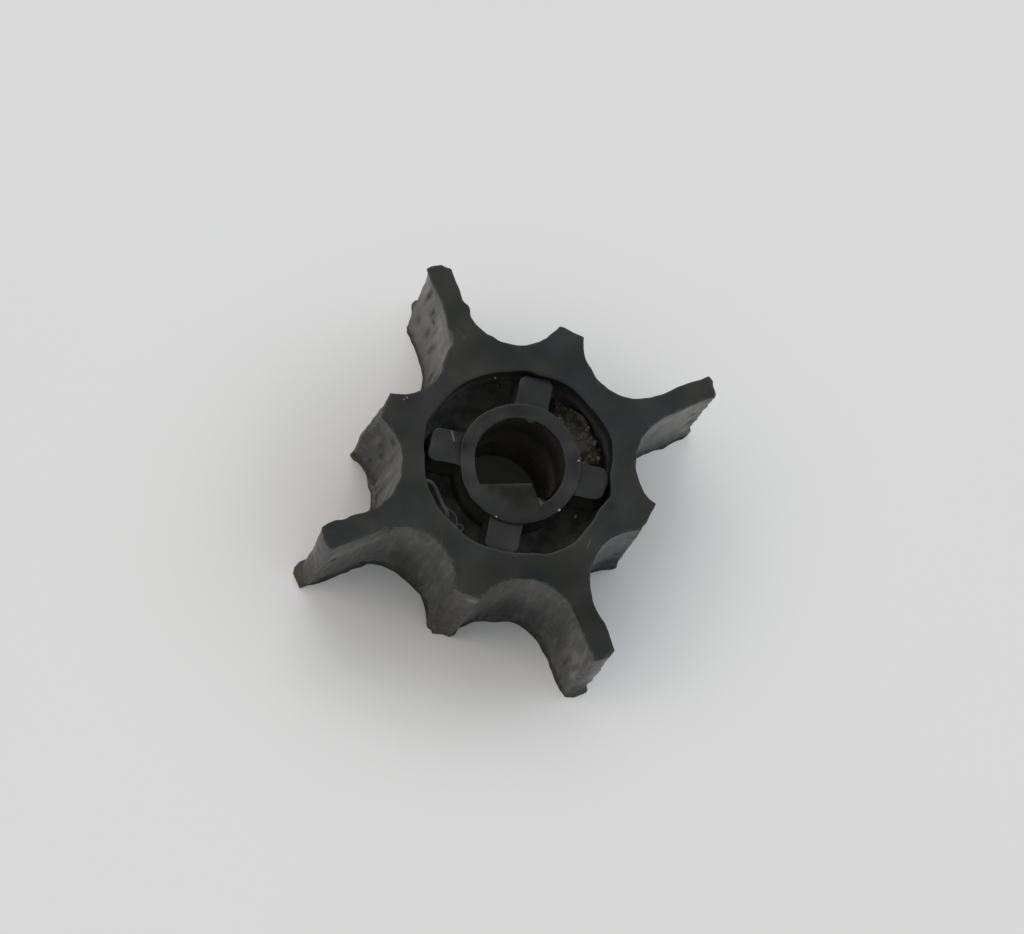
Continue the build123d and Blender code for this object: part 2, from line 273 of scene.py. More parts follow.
# Rubber body: ring, eight vanes, two recessed faces and the web that grips the insert.
# Lengths in mm, turns in degrees. A vane's u runs outward from the axis, w anticlockwise.
rubber = dict(
    ringRadius=10.75, recessRadius=8.8, halfVane=1.025, tubeRadius=5.65, webHalf=2.7,
    webRoot=0.3,                       # fillet of the web against the ring
    seatDepth=0.04,                    # how far the web reaches into the insert
    mouldedEdge=0.07, tornEdge=0.06,   # rounding of the faces' edges, and at a torn end
    tornReach=0.8, columnMm=0.2,       # where one turns into the other, column by column
    mouthEdge=0.02, endRounding=0.05,
    lip=0.2, lipHeight=0.75,           # the unworn lip round the lower face
    endPlaces=(-1.05, -0.35, 0.35, 1.05), stubWiden=1.15,    # across a vane; stubs are wider
    wave=0.06, waveMm=3.1,             # slow waviness of the old rubber
    ragged=(0.02, 0.05, 0.06), raggedMm=0.75,    # its skin: everywhere, at ends and at edges
    innerWear=0.35,                    # how much of both is left inside the ring
    sink=0.03, sinkMm=2.2,             # how unevenly the faces are worn down
    # where each kind of wear starts and over how much it comes in, or with a minus goes out:
    # by z or height for bulgeUp, edges and cleanBy, and by radius for the others
    bulgeUp=(2.5, 4.5), bulgeOut=(7.0, 1.5), bulgeEnd=(-10.3, 1.3),
    stubEnds=(12.3, 1.0), pastStubs=(14.0, 0.8), vaneEnds=(18.3, 0.9), edges=(6.6, 1.2),
    outside=(9.3, 0.8), worn=(7.9, 0.8), cleanBy=(4.0, 3.0),
    # painted shade in bands by the lower and the upper face: the z each fades from, and over how much,
    # how dark the upper one is, and where the lower one is missing
    lowerShadeBand=(-7.85, 0.65), upperShadeBand=(7.5, 0.4), upperShare=0.5,
    bandGap=(-10.3, 6.2, -8.0, 2.6, 4.0, 0.8),
    arcColumns=22, flankColumns=26, stubColumns=26, endColumns=28, wallRows=54, edgeRows=4,
    ringRows=5, recessRows=12, floorRows=9, seatRows=4,
    # ends: how far out a vane ends at four places across it, from clockwise on, at levels from
    # the upper face down. gap: the root arc on to the next vane, its extra radius and its lip.
    vanes=[
        dict(turn=0, long=True, gap=(0, 0.15), ends=[
            (8, 19.38, 19.6, 19.64, 19.52), (5.2, 19.27, 19.33, 19.33, 19.25),
            (0, 19.25, 19.32, 19.32, 19.25), (-5.8, 19.2, 19.32, 19.32, 19.2),
            (-6.9, 19.8, 19.9, 19.88, 19.7), (-8, 19.85, 19.9, 19.9, 19.7)]),
        dict(turn=45, long=False, gap=(0.24, 0.1), ends=[
            (8, 13.25, 13.33, 13.42, 13.52), (-8, 13.15, 13.42, 13.12, 13.38)]),
        dict(turn=89, long=True, gap=(0, 0.22), ends=[
            (8, 18.98, 19.62, 19.82, 19.84), (5, 19.2, 19.38, 19.38, 19.05), (3.5, 19.2, 19.32, 19.34, 19),
            (2, 19.2, 19.32, 19.25, 18.8), (-2.5, 19.2, 19.32, 19.05, 18.55),
            (-6.2, 19.25, 19.22, 18.55, 18.15), (-6.9, 19.8, 19.9, 18.4, 18),
            (-8, 19.85, 19.95, 18.3, 17.98)]),
        dict(turn=135, long=False, gap=(0.1, 0.42), ends=[
            (8, 13.28, 13.3, 13.3, 13.25), (4.2, 13.22, 13.3, 13.32, 13.3),
            (1.8, 13.25, 13.38, 13.62, 13.72), (-2.5, 13.28, 13.4, 13.5, 13.62),
            (-5, 13.3, 13.42, 13.44, 13.42), (-8, 13.38, 13.42, 13.5, 13.62)]),
        dict(turn=180, long=True, gap=(0, 0.22), ends=[
            (8, 19.4, 19.6, 19.62, 19.48), (3, 19.06, 19.3, 19.32, 19.25), (-2, 18.79, 19.2, 19.32, 19.25),
            (-6.8, 18.55, 19.15, 19.4, 19.25), (-7.6, 19.05, 19.75, 19.9, 19.6),
            (-8, 19.6, 19.85, 19.9, 19.85)]),
        dict(turn=225, long=False, gap=(0.08, 0.28), ends=[
            (8, 13.25, 13.37, 13.36, 13.27), (-5, 13.35, 13.48, 13.4, 13.32),
            (-8, 13.45, 13.88, 13.4, 13.52)]),
        dict(turn=270, long=True, gap=(0, 0.28), ends=[
            (8, 19.45, 19.63, 19.61, 19.3), (3.3, 19.2, 19.32, 19.35, 19.35),
            (0, 19.2, 19.32, 19.38, 19.42), (-5, 19.2, 19.32, 19.4, 19.48),
            (-6.8, 19.35, 19.6, 19.6, 19.43), (-7.4, 19.5, 19.83, 19.85, 19.84),
            (-8, 19.5, 19.83, 19.84, 19.84)]),
        dict(turn=315, long=False, gap=(0, 0.2), ends=[
            (8, 12.55, 12.85, 12.9, 13.05), (-5, 12.75, 12.98, 13, 12.92), (-8, 13.1, 13.12, 13.05, 12.92)]),
    ],
    # how far out of round the upper recess's mouth is, by direction
    mouthBulge=[
        (-180, 0), (-173, 0), (-158, -0.3), (-149, -0.14), (-139, -0.2), (-129, -0.32), (-106, -0.32),
        (-98, 0), (-87, 0.08), (-79, 0.05), (-70, -0.2), (-53, -0.43), (-42, 0.05), (-30, -0.44),
        (-20, -0.23), (-9, 0), (-2, -0.02), (4, -0.18), (18, -0.36), (37, -0.2), (55, -0.38), (61, -0.14),
        (73, -0.3), (86, -0.14), (100, 0.07), (117, 0.15), (125, 0.23), (135, 0.5), (145, 0.25), (155, 0),
        (169, 0.08), (180, 0),
    ],
    # other lumps and nicks: where, how wide and how high, and the shift
    lumps=[
        # a barb and a dip on one vane, and nicks and lumps in the upper edges of the arcs
        (1.55, 15.05, 6, 0.55, 3.5, 0.38, 0), (1.3, 15.85, 6, 0.45, 3, -0.1, 0),
        (-0.7, 19.5, 6.5, 0.5, 2.5, 0.12, 0), (7.6, 9.9, 6, 0.5, 3, 0.05, 0.16),
        (9.75, 5.75, 6, 0.55, 3, 0.24, 0.02), (2.4, 11.6, 6, 0.6, 3, 0.12, 0.14),
        (-2.6, 11.6, 7.6, 1.3, 2.6, -0.42, 0.3),
        # a bent flank, and bows of the upper edge
        (1.3, -17.3, 4.5, 1.5, 6, 0.34, 0), (1.1, -15.3, 6, 0.6, 4, -0.1, 0),
        (-18.2, 1.3, 6.5, 1, 4, 0, 0.34), (-16.2, 1.2, 6.5, 0.7, 4, 0, 0.14),
        # gouges in the flanks
        (-0.75, 16.4, 3, 0.3, 1.6, 0.1, 0), (-0.8, 15.6, -1.7, 0.35, 1.3, 0.12, 0),
        (-10.1, 8.2, -2, 0.4, 1, -0.1, 0.05),
        # lumps along the lower lip
        (16.9, -1, -7.6, 0.8, 0.8, 0, -0.14), (14.6, -1.1, -7.6, 0.6, 0.8, 0, -0.1),
        (-1.2, -16.2, -7.4, 0.6, 0.9, -0.16, 0), (-1.1, -14.6, -7.6, 0.4, 0.8, -0.12, 0),
        (-13.1, -1.3, -7.8, 1.3, 1.2, 0.02, 0.22), (-10.5, -4.3, -7.8, 1.2, 1.4, -0.22, -0.12),
        (-7.9, -10.1, -7.8, 0.5, 1.2, 0.08, 0.26), (-10.1, -9.2, -7.8, 0.5, 1, 0.16, 0.1),
        (-4.4, -10.4, -7.8, 1.1, 1.4, -0.1, -0.3), (-1.05, -16.1, -7.8, 0.6, 1, 0.16, 0),
        # a bend in an upper edge, a notch in a lower one
        (-0.8, 14, 7.8, 0.8, 3, -0.33, 0), (-1.6, 12.2, 7.8, 0.6, 3, 0.16, 0.05),
        (-1.2, 16.9, -7.8, 0.35, 1.4, 0.2, 0),
        # upper edges left a little proud
        (16.9, 1.05, 7.5, 1, 3, 0, 0.1), (3.1, -10.6, 7.5, 0.8, 3, 0.03, -0.1),
        (1.2, -12.3, 7.5, 0.8, 3, 0.12, -0.02), (-14.4, -1.05, 7.5, 0.9, 2, 0, -0.12),
        (-1.1, 15.2, 7.6, 0.8, 2, -0.08, 0),
    ],
    # small pits in the upper face: where, how wide and how deep
    pits=[(0, 12.89, 0.2, 0.07)], pitHeight=0.5,
    # marks on the flanks: where, how wide and how high, and how pale (+) or how dark (-); the
    # pale ones are scuffs and partly painted sheen, the dark ones scratches and stains and, low on
    # the flanks, painted shade
    marks=[
        # the vane at 89 degrees, and the root beside it
        (-1, 15, 0, 3.6, 9, 0.5), (-1.6, 12.6, 3.5, 0.8, 3, 0.6), (-2.7, 11, 2, 0.7, 7, -0.5),
        (-0.8, 14, 2, 1.8, 4, 0.75), (-0.8, 15, 3.9, 0.9, 2, 1), (-0.7, 19, 4, 0.8, 3.5, 0.9),
        (-0.7, 16.5, 3.3, 0.16, 1.3, -1), (-0.8, 16.1, 3.2, 0.14, 1.6, -0.9),
        (-0.8, 15.9, 2.3, 0.28, 0.5, -1), (-0.8, 15.7, -1.6, 0.26, 1.3, -0.9),
        (-0.7, 17.9, 4.6, 0.22, 1.8, -0.8), (-0.8, 14.3, -2.7, 0.2, 2, -0.7),
        (-0.8, 17.3, -2.9, 0.3, 1.2, -0.6), (-1, 13.2, 2.4, 0.15, 2.2, -0.5),
        (-1.5, 12.2, -4.2, 0.4, 2.6, -0.8), (-1.9, 11.7, -5.5, 0.25, 3, -0.7),
        (-2.2, 11.2, 0, 0.35, 2.4, -0.9), (-1.9, 13.6, -5.5, 0.8, 2, -0.4), (-2.6, 10.8, -3, 0.25, 4, -0.7),
        (-0.8, 15.1, 0, 0.12, 3, -0.5),
        # the stub at 135 degrees, and the root beside it
        (-9.8, 7.5, 0, 2.5, 9, -0.35), (-9.8, 7.7, 0.7, 0.3, 2.6, 0.5), (-9.6, 5.9, 2.6, 0.4, 3, 0.2),
        (-9.8, 4.6, 0.9, 0.4, 3.6, 0.4), (-10.3, 3.4, -0.1, 0.3, 2.6, 0.5), (-9.6, 6.5, -0.5, 0.3, 0.9, -1),
        (-9.7, 7.2, 1.3, 0.2, 1, -0.9), (-9.7, 7.2, -4.9, 0.25, 1, -0.9), (-9.6, 5.4, -6.2, 0.16, 2.2, -1),
        (-9.7, 5.05, -6.2, 0.14, 2, 0.8), (-9.9, 4.1, -4.9, 0.16, 2.6, -1),
        (-9.8, 4.5, -6.5, 0.16, 2.2, 0.8), (-9.6, 6.3, 5.8, 0.5, 1, -0.7), (-9.6, 5.3, 3.5, 0.14, 3, -0.8),
        (-10.2, 3.8, 0.5, 0.12, 3, -0.7), (-11.4, 2.8, 1, 0.7, 2, -0.35),
        # the vane at 180 degrees, and the roots beside it
        (-18, -1, 1.1, 0.35, 0.6, -0.9), (-17.7, -1, 3.1, 0.8, 1.6, 0.5), (-15.7, -1, 3.2, 1.3, 1.5, 0.45),
        (-14.1, -1, 3.4, 0.7, 1.3, 0.4), (-19, 0.3, 1.5, 0.9, 3.5, 0.45), (-12.2, -1.6, 5.7, 1, 1.4, 0.25),
        (-10.8, -2.8, 3.8, 1.3, 1.6, 0.2), (-11, -2.5, -3.5, 1.4, 2.4, -0.5),
        (-9.6, -6.2, 4.4, 0.8, 2, 0.2),
        # the stub at 225 degrees and the vane at 270
        (-8.9, -10, 6.2, 0.5, 0.8, 1), (-10.1, -8.9, -2.5, 1.2, 4.5, -0.5),
        (-3.4, -10.3, -4.1, 1.4, 3, -0.6), (-1.6, -12.2, -3.8, 1, 3, -0.5), (-0.9, -12, 0.7, 1, 3, -0.35),
        (-2.7, -10.8, 5.4, 1, 1.5, 0.2), (-1.7, -12.1, 5.3, 1, 1.5, 0.2), (1, -19.3, -1.5, 0.9, 3, 1.3),
        (0.9, -19.4, 3.5, 0.7, 3.5, 1.4), (-1, -17.7, 1.7, 0.9, 2, 0.4), (-1, -16.4, -1, 0.35, 3.5, 0.35),
        (-1, -18.7, -1.7, 0.35, 1.8, 0.6), (-1, -17.2, -3, 0.16, 2.2, -0.7),
        (-1, -18.3, 0.5, 0.14, 1.6, -0.6), (-1, -15.3, -0.9, 1.8, 2.5, -0.35),
        # the stub at 315 degrees and the vane at 0
        (6.7, -9, 0.6, 0.35, 0.7, 1), (7.2, -9.5, 3.5, 1, 2.5, 0.2), (7.4, -9.7, -1.9, 0.3, 0.5, -0.9),
        (7.5, -9.8, -5.4, 1.6, 1.8, -0.8), (15.5, -1.1, 1.5, 4.2, 8, 0.8), (16.6, -1, 6.1, 1.2, 1.6, 1),
        (15.2, -1, 3.7, 1.3, 2.2, 0.9), (18.3, -1, 4.3, 0.8, 2, 0.8), (18.1, -1, 2.8, 0.3, 0.8, -0.6),
        (18.5, -1, -1, 0.35, 1.2, -0.6), (18.6, -1, -4.6, 0.5, 1, 0.8), (14.6, -1, 0, 0.9, 2.5, -0.3),
    ],
    # smooth oily places on the faces, and mud dried on torn ends and along the lower edge:
    # where, how wide and how high, and how much
    oily=[
        (-5.6, -8.6, 8, 2, 1, 0.8), (-3.2, -10.4, 8, 2.2, 1, 1), (-0.6, -11.4, 8, 2.2, 1, 0.9),
        (0.4, -15.6, 8, 3, 1, 0.8), (3, 9.8, 8, 2.2, 1, 0.6), (-7.6, 9, 8, 1.2, 1, 0.5),
        (5.5, -8.9, 8, 1.6, 1, 0.5), (9.3, 6, 8, 1.8, 1, 0.3), (6.1, -6.9, 8, 0.7, 1, 1),
    ],
    muddy=[
        (-19.7, 0.3, -7.7, 1.3, 0.8, 1), (-9.9, 8.6, -7.6, 0.9, 0.9, 1), (-9.4, 7, -6.8, 1.2, 1.2, 0.35),
        (-10.7, -8.7, -7.7, 1.2, 0.7, 0.9), (-9.5, -9.8, -7.7, 0.9, 0.7, 0.8),
        (-0.4, -19.8, -7.7, 1.6, 0.6, 0.9), (-9.8, 5.2, -6.6, 0.8, 1.6, 0.35),
        (-15.5, -1.1, -7.8, 3, 0.4, 0.5), (-1.2, -17, -7.8, 2.6, 0.4, 0.5),
    ],
)
vanes = rubber["vanes"]
# The insert's lugs, which the web is moulded round. A lug's corners are seen from the axis
# at side degrees off its middle, and columns crowd there.
lugs = dict(firstTurn=54.2, halfThick=1.575, reach=8.45, corner=0.7, root=0.3, side=13.4,
            sideSpread=3.2, sideCrowd=4)


def endReach(vane, w, z):
    # the table of ends, straight between its places and levels, then rounded at the corners
    stations = np.array(rubber["endPlaces"]) * (1 if vane["long"] else rubber["stubWiden"])
    levels = np.array(vane["ends"])[::-1]
    atLevels = np.stack([np.interp(w, stations, level[1:]) for level in levels])
    place = np.interp(z, levels[:, 0], np.arange(len(levels)))
    below = np.clip(place.astype(int), 0, len(levels) - 2)
    take = np.broadcast_to(below, w.shape)[None]
    low, high = (np.take_along_axis(atLevels, take + step, 0)[0] for step in (0, 1))
    rounded = rubber["endRounding"] if vane["long"] else 0.0
    return blendTo(low, high, smoothStep(place - below)) - rounded * np.abs(w / stations[-1]) ** 6


def rowPlaces(edge, lip):
    # rows from the lower face round its edge, up the wall and round to the upper face: their
    # height, and how far in from the wall they lie by each column's edge radius and lip
    bend = np.linspace(math.pi / 2, 0, rubber["edgeRows"] + 1)[:, None]
    low = -halfWidth + edge * (1 - np.sin(bend))
    wall = blendTo(-halfWidth + edge, halfWidth - edge, steps(rubber["wallRows"])[:-1])
    inset = edge * (1 - np.cos(bend))
    height = np.concatenate([low, wall, -low[::-1]])
    inset = np.concatenate([inset, wall * 0, inset[::-1]])
    flare = 1 - smoothStep((height + halfWidth - 0.4 * rubber["lipHeight"])
                           / (0.6 * rubber["lipHeight"]))
    return height, inset - lip * flare


def openingHalf(number, side):
    # half the angle between this vane and its neighbour on that side
    turn = vanes[number]["turn"]
    other = vanes[(number + side) % len(vanes)]["turn"]
    return math.radians(((other - turn) * side) % 360) / 2


def gapBeside(number, side):
    # the gap's values are with the vane on its clockwise side
    return vanes[number if side > 0 else number - 1]["gap"]


def vaneSide(number, side, inset, reach):
    # from the middle of the gap along the root arc, which is tangent to the ring and the
    # flank, then out along the flank to the vane's end
    vane, half = vanes[number], openingHalf(number, side)
    ring = rubber["ringRadius"] + gapBeside(number, side)[0]
    arcRadius = (ring * math.sin(half) - rubber["halfVane"]) / (1 - math.sin(half))
    centreU = (ring + arcRadius) * math.cos(half)
    centreW = (ring + arcRadius) * math.sin(half)
    arcCount = rubber["arcColumns" if vane["long"] else "stubColumns"]
    radius = arcRadius + inset[:, :arcCount]
    endAngle = np.arcsin(np.clip((centreU - reach) / radius[:, -1:], 0, 1))
    angle = blendTo(math.pi / 2 - half, endAngle, np.linspace(0, 1, arcCount))
    u = centreU - radius * np.sin(angle)
    w = centreW - radius * np.cos(angle)
    if vane["long"]:
        u = np.concatenate([u, blendTo(centreU, reach, steps(rubber["flankColumns"]).T)], 1)
        w = np.concatenate([w, rubber["halfVane"] - inset[:, arcCount:]], 1)
    return u, w * side


def inFrame(number, u, w, z):
    # from a vane's u and w to x and y
    turn = math.radians(vanes[number]["turn"])
    x = u * math.cos(turn) - w * math.sin(turn)
    y = u * math.sin(turn) + w * math.cos(turn)
    return np.stack([x, y, np.broadcast_to(z, x.shape)], -1)


def vaneOutline(number):
    # one side, the end and the other side of a vane, row by row: (u, w, z) of each
    vane = vanes[number]
    sideCount = (rubber["arcColumns"] + rubber["flankColumns"] if vane["long"]
                 else rubber["stubColumns"])
    widen = 1 if vane["long"] else rubber["stubWiden"]
    fromEnd = np.arange(sideCount)[::-1] * rubber["columnMm"]
    edge = blendTo(rubber["tornEdge"], rubber["mouldedEdge"],
                   smoothStep(fromEnd / rubber["tornReach"]))
    sides = []
    for side in (-1, 1):
        gapLip = gapBeside(number, side)[1]
        lip = np.interp(np.linspace(0, 1, sideCount), (0, 0.3, 0.5, 0.9, 1),
                        (gapLip, gapLip, rubber["lip"], rubber["lip"], 0))
        height, inset = rowPlaces(edge[None], lip[None])
        endHeight, endInset = height[:, -1:], inset[:, -1:]
        cornerW = side * (rubber["halfVane"] - endInset) * widen
        for _ in range(6):      # the corner lies on both the flank and the end
            reach = endReach(vane, cornerW, endHeight) - endInset
            u, w = vaneSide(number, side, inset, reach)
            cornerW = w[:, -1:]
        sides.append((u, w, height))
    across = np.linspace(0, 1, rubber["endColumns"] + 1)
    w = blendTo(sides[0][1][:, -1:], sides[1][1][:, -1:], across)
    endHeight = np.broadcast_to(endHeight, w.shape)
    u = endReach(vane, w, endHeight) - endInset
    # the end's first and last columns are the sides' last ones
    u[:, 0], u[:, -1] = sides[0][0][:, -1], sides[1][0][:, -1]
    return sides[0], (u, w, endHeight), sides[1]


def fromLug(turned):
    # how far a direction is from the nearest lug's middle, when it is measured from the first
    quarter = math.pi / 2
    return np.abs((turned + quarter / 2) % quarter - quarter / 2)


def besideLugs(turned):
    # a bell round each lug's sides
    off = np.degrees(fromLug(turned)) - lugs["side"]
    return lugs["sideCrowd"] * np.exp(-(off / lugs["sideSpread"]) ** 2)


def crowdedTurns(fine, weight, count):
    # count + 1 directions out of the fine ones, closer together where the weight is greater
    share = np.concatenate([[0], np.cumsum((weight[1:] + weight[:-1]) / 2)])
    return np.interp(np.linspace(0, share[-1], count + 1), share, fine)


def lugOutline(angle):
    # the insert's reach in each direction: where the ray meets a lug's end, its side or the
    # circle that rounds its corner, then blended into the round tube at the lug's root
    off = np.maximum(fromLug(angle - math.radians(lugs["firstTurn"])), 1e-6)
    end, side = lugs["reach"] / np.cos(off), lugs["halfThick"] / np.sin(off)
    u, w = lugs["reach"] - lugs["corner"], lugs["halfThick"] - lugs["corner"]
    along = u * np.cos(off) + w * np.sin(off)
    rounded = along + np.sqrt(np.maximum(along ** 2 - u ** 2 - w ** 2 + lugs["corner"] ** 2, 0))
    lug = np.where(end * np.sin(off) < w, end, np.where(side * np.cos(off) < u, side, rounded))
    near = np.clip(0.5 + (lug - rubber["tubeRadius"]) / (2 * lugs["root"]), 0, 1)
    reach = blendTo(rubber["tubeRadius"], lug, near) + lugs["root"] * near * (1 - near)
    return np.maximum(reach, rubber["tubeRadius"])


def sectorAngles(number):
    # columns round the recess in one vane's sector, closer together beside the lugs
    fine = np.linspace(-openingHalf(number, -1), openingHalf(number, 1), 400)
    turned = fine + math.radians(vanes[number]["turn"] - lugs["firstTurn"])
    return crowdedTurns(fine, 1 + besideLugs(turned), rubber["endColumns"])


def faceCap(number, parts, row):
    # a sector of one face: from the recess's mouth out to the chord between the two gaps'
    # middles, then across the vane between its sides, ending on the vane's own end
    angle = sectorAngles(number)
    inner = polar(rubber["recessRadius"] + rubber["mouthEdge"], angle, 0)[:, :2]
    low, endRow, high = (np.stack([u[row], w[row]], -1) for u, w, _ in parts)
    across = np.linspace(0, 1, len(angle))[None, :, None]
    rows = blendTo(low[:, None], high[:, None], across)
    follow = (np.arange(len(low)) / (len(low) - 1))[:, None, None] ** 4
    rows = rows + follow * (endRow - rows[-1])
    out = np.linspace(0, 1, rubber["ringRows"] + 1)[:-1, None, None]
    rows = np.concatenate([blendTo(inner, rows[0], out), rows])
    return inFrame(number, rows[..., 0], rows[..., 1], halfWidth * (1 if row else -1))


def recessSkin(number):
    # a profile carried round the axis: mouth, recess wall, web, the web's seat on the
    # insert, and the same again below
    angle = sectorAngles(number)
    seat = lugOutline(angle + math.radians(vanes[number]["turn"])) - rubber["seatDepth"]
    recess, mouth, root = rubber["recessRadius"], rubber["mouthEdge"], rubber["webRoot"]
    web, bend = rubber["webHalf"], np.linspace(0, math.pi / 2, 4)[:, None]
    radius, height = joinRows(angle, [
        (recess + mouth * (1 - np.sin(bend)), halfWidth - mouth * (1 - np.cos(bend))),
        (recess, blendTo(halfWidth - mouth, web + root, steps(rubber["recessRows"]))),
        (recess - root * (1 - np.cos(bend[1:])), web + root * (1 - np.sin(bend[1:]))),
        (blendTo(recess - root, seat, steps(rubber["floorRows"])), web)])
    middle = np.linspace(web, -web, rubber["seatRows"] + 1)[1:-1, None]
    radius, height = joinRows(angle, [(radius, height), (seat, middle),
                                      (radius[::-1], -height[::-1])])
    return inFrame(number, radius * np.cos(angle), radius * np.sin(angle), height)


def wearAndTear(points):
    # what use did to the moulding: a shift of each point by where it is
    points = points.copy()
    x, y, z = np.moveaxis(points, -1, 0)
    radius = np.hypot(x, y)
    # the mouth's bulge, which fades with depth and away from the recess's wall
    bulge = np.interp(np.degrees(np.arctan2(y, x)), *zip(*rubber["mouthBulge"]))
    near = rise(-radius, *rubber["bulgeEnd"]) * rise(radius, *rubber["bulgeOut"])
    outward = bulge * rise(z, *rubber["bulgeUp"]) * near / np.maximum(radius, 1)
    # slow waviness of the old rubber, and a ragged skin that is coarser at edges and ends
    ends = rise(radius, *rubber["stubEnds"]) * (1 - rise(radius, *rubber["pastStubs"]))
    ends = np.maximum(ends, rise(radius, *rubber["vaneEnds"]))
    edges, outer = rise(np.abs(z), *rubber["edges"]), rise(radius, *rubber["outside"])
    skin, atEnds, atEdges = rubber["ragged"]
    coarse = (skin + atEnds * ends + atEdges * edges)[..., None]
    shift = shiftNoise(points, rubber["waveMm"], (1, 2)) * rubber["wave"]
    shift = shift + shiftNoise(points, rubber["raggedMm"], (3, 4)) * coarse
    shift = (shift * np.maximum(outer, rubber["innerWear"])[..., None]
             + points[..., :2] * outward[..., None])
    pushBy(shift, points, rubber["lumps"])
    shift *= rise(radius, *rubber["worn"])[..., None]
    points[..., :2] += shift
    uneven = 1 + latticeNoise(points, rubber["sinkMm"], 7)
    points[..., 2] -= np.sign(z) * rubber["sink"] * uneven
    for atX, atY, across, depth in rubber["pits"]:
        points[..., 2] -= depth * nearTo(points, (atX, atY, halfWidth), across,
                                         rubber["pitHeight"])
    return np.clip(points, cadLow, cadHigh)


def rubberMasks(points, wall, torn, pocket):
    # how pale, dark, muddy or oily each point is; the bands of painted shade count as dark
    wall, torn, pocket = (np.zeros(points.shape[:2]) + kind for kind in (wall, torn, pocket))
    z = points[..., 2]
    pale, dark = (strongest(points, rubber["marks"], sign) * wall for sign in (1, -1))
    mud, oil = strongest(points, rubber["muddy"]) * wall, strongest(points, rubber["oily"])
    # painted shade: a dark band above the lower edge of every wall stands for the table's contact shadow
    # seen in the flanks, and a weaker one under the upper edge dims that edge's highlight
    shadeBand = wall * (1 - rise(z, *rubber["lowerShadeBand"]))
    shadeBand = shadeBand * (1 - strongest(points, [rubber["bandGap"]]))
    shadeBand = np.maximum(shadeBand, rubber["upperShare"] * wall * rise(z, *rubber["upperShadeBand"]))
    pocket = pocket * (1 - rise(np.abs(z), *rubber["cleanBy"]))
    return np.stack([wall, torn, pocket, pale, np.maximum(dark, shadeBand), mud,
                     oil * (1 - wall)], -1)


def rubberGrids():
    # in each vane's sector: its walls, its side of the recess and its share of both faces
    grids = []
    for number in range(len(vanes)):
        parts = vaneOutline(number)
        first, end, last = (inFrame(number, *part) for part in parts)
        walls = [first, end[:, 1:-1], last[:, ::-1]]
        isEnd = np.repeat((0, 1, 0), [wall.shape[1] for wall in walls])
        surfaces = [(np.concatenate(walls, 1), 1, isEnd, 0), (recessSkin(number), 0, 0, 1)]
        surfaces += [(faceCap(number, parts, row), 0, 0, 0) for row in (0, -1)]
        for points, *kinds in surfaces:
            points = wearAndTear(points)
            grids.append((points, rubberMasks(points, *kinds)))
    return grids


rubberMaskNames = ["wall", "torn", "pocket", "pale", "dark", "mud", "oil"]


def mouldedRubber():
    # Nitrile rubber, compression moulded: black and satin, so its upright flanks catch the
    # light at a glance. The pump's wall has left streaky scuffs across the moulding, and the pale
    # colour on the flanks is partly painted sheen; torn ends are rougher and browner; the pockets
    # are paler with dust and painted fill light; dark marks are partly grime and partly painted
    # shade, and the dark bands by both faces are painted shade.
    look = dict(
        cool="#0a1418", olive="#1a1b0e", aged="#1c1c1c", scuffedAndSheen="#98968e", torn="#2b2822",
        grimeAndShade="#14110c", mud="#3d3624", dustAndFill="#646461",
        tintMm=5.5, mottleMm=4.0, grainMm=0.35, patchMm=1.6, detail=4.0, fractal=0.6,
        streakMm=0.45, streakLong=9.0, streakDetail=3.0, streakBend=0.7, streakBump=2.0,
        roughness=(0.35, 0.43), tornRoughness=0.52, scuffRoughness=0.5, grimeAndShadeRoughness=0.9,
        oilRoughness=0.26, bump=0.22, bumpMm=0.04, ior=1.5,
    )
    material, tree, place, noises, fields = newMaterial(
        "mouldedRubber", look, ("mottle", "grain", "patch", "tint"), rubberMaskNames)
    mottle, grain, patch, tint = noises
    wall, torn, pocket, pale, dark, mud, oil = fields
    stretched = addNode(tree, "Mapping", {"Scale": (1, 1, 1 / look["streakLong"]), "Vector": place})
    streak = addNode(tree, "TexNoise",
                     {"Scale": perMetre(look["streakMm"]), "Detail": look["streakDetail"],
                      "Distortion": look["streakBend"], "Vector": stretched})
    color = paintLayers(tree, look, "cool", (
        ("olive", None, tint, 0.38, 0.62, 1.0), ("aged", None, mottle, 0.35, 0.75, 1.0),
        # pale walls: streaky scuffs, and painted sheen where the flanks' paleness stands for their glancing
        # reflection
        ("scuffedAndSheen", wall, streak, 0.48, 0.72, 0.16), ("scuffedAndSheen", pale, streak, -0.25, 0.75, 0.7),
        # the pockets' colour: dust, made paler as painted fill light where the pockets lie in shade
        ("torn", torn, patch, 0.35, 0.65, 0.8), ("dustAndFill", pocket, patch, 0.22, 0.62, 1.0),
        # the dark colour: partly grime, and partly painted shade in the bands and the low dark marks
        ("grimeAndShade", dark, patch, 0.0, 0.3, 1.0), ("mud", mud, patch, 0.2, 0.5, 1.0)))
    # the bare rubber is shinier in some patches than in others
    shiny, dull = look["roughness"]
    roughness = addNode(tree, "MapRange", {"From Min": 0.35, "From Max": 0.65,
                                           "To Min": shiny, "To Max": dull,
                                           "Value": mottle})
    for share, to in ((torn, "torn"), (pale, "scuff"), (dark, "grimeAndShade"), (pocket, "grimeAndShade"),
                      (mud, "grimeAndShade"), (oil, "oil")):
        roughness = addNode(tree, "Mix",
                            {"data_type": "FLOAT", mixShare: share, valueA: roughness,
                             valueB: look[to + "Roughness"]})
    streaked = addNode(tree, "Math", {"operation": "MULTIPLY", 0: wall, 1: streak})
    height = addNode(tree, "Math", {"operation": "MULTIPLY_ADD", 0: streaked,
                                    1: look["streakBump"], 2: grain})
    finishMaterial(tree, look, height,
                   {"IOR": look["ior"], "Base Color": color, "Roughness": roughness})
    return material


rubberPiece = meshPiece("moulded_rubber_star", rubberGrids(), rubberMaskNames,
                        mouldedRubber())
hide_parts("rubber_body")


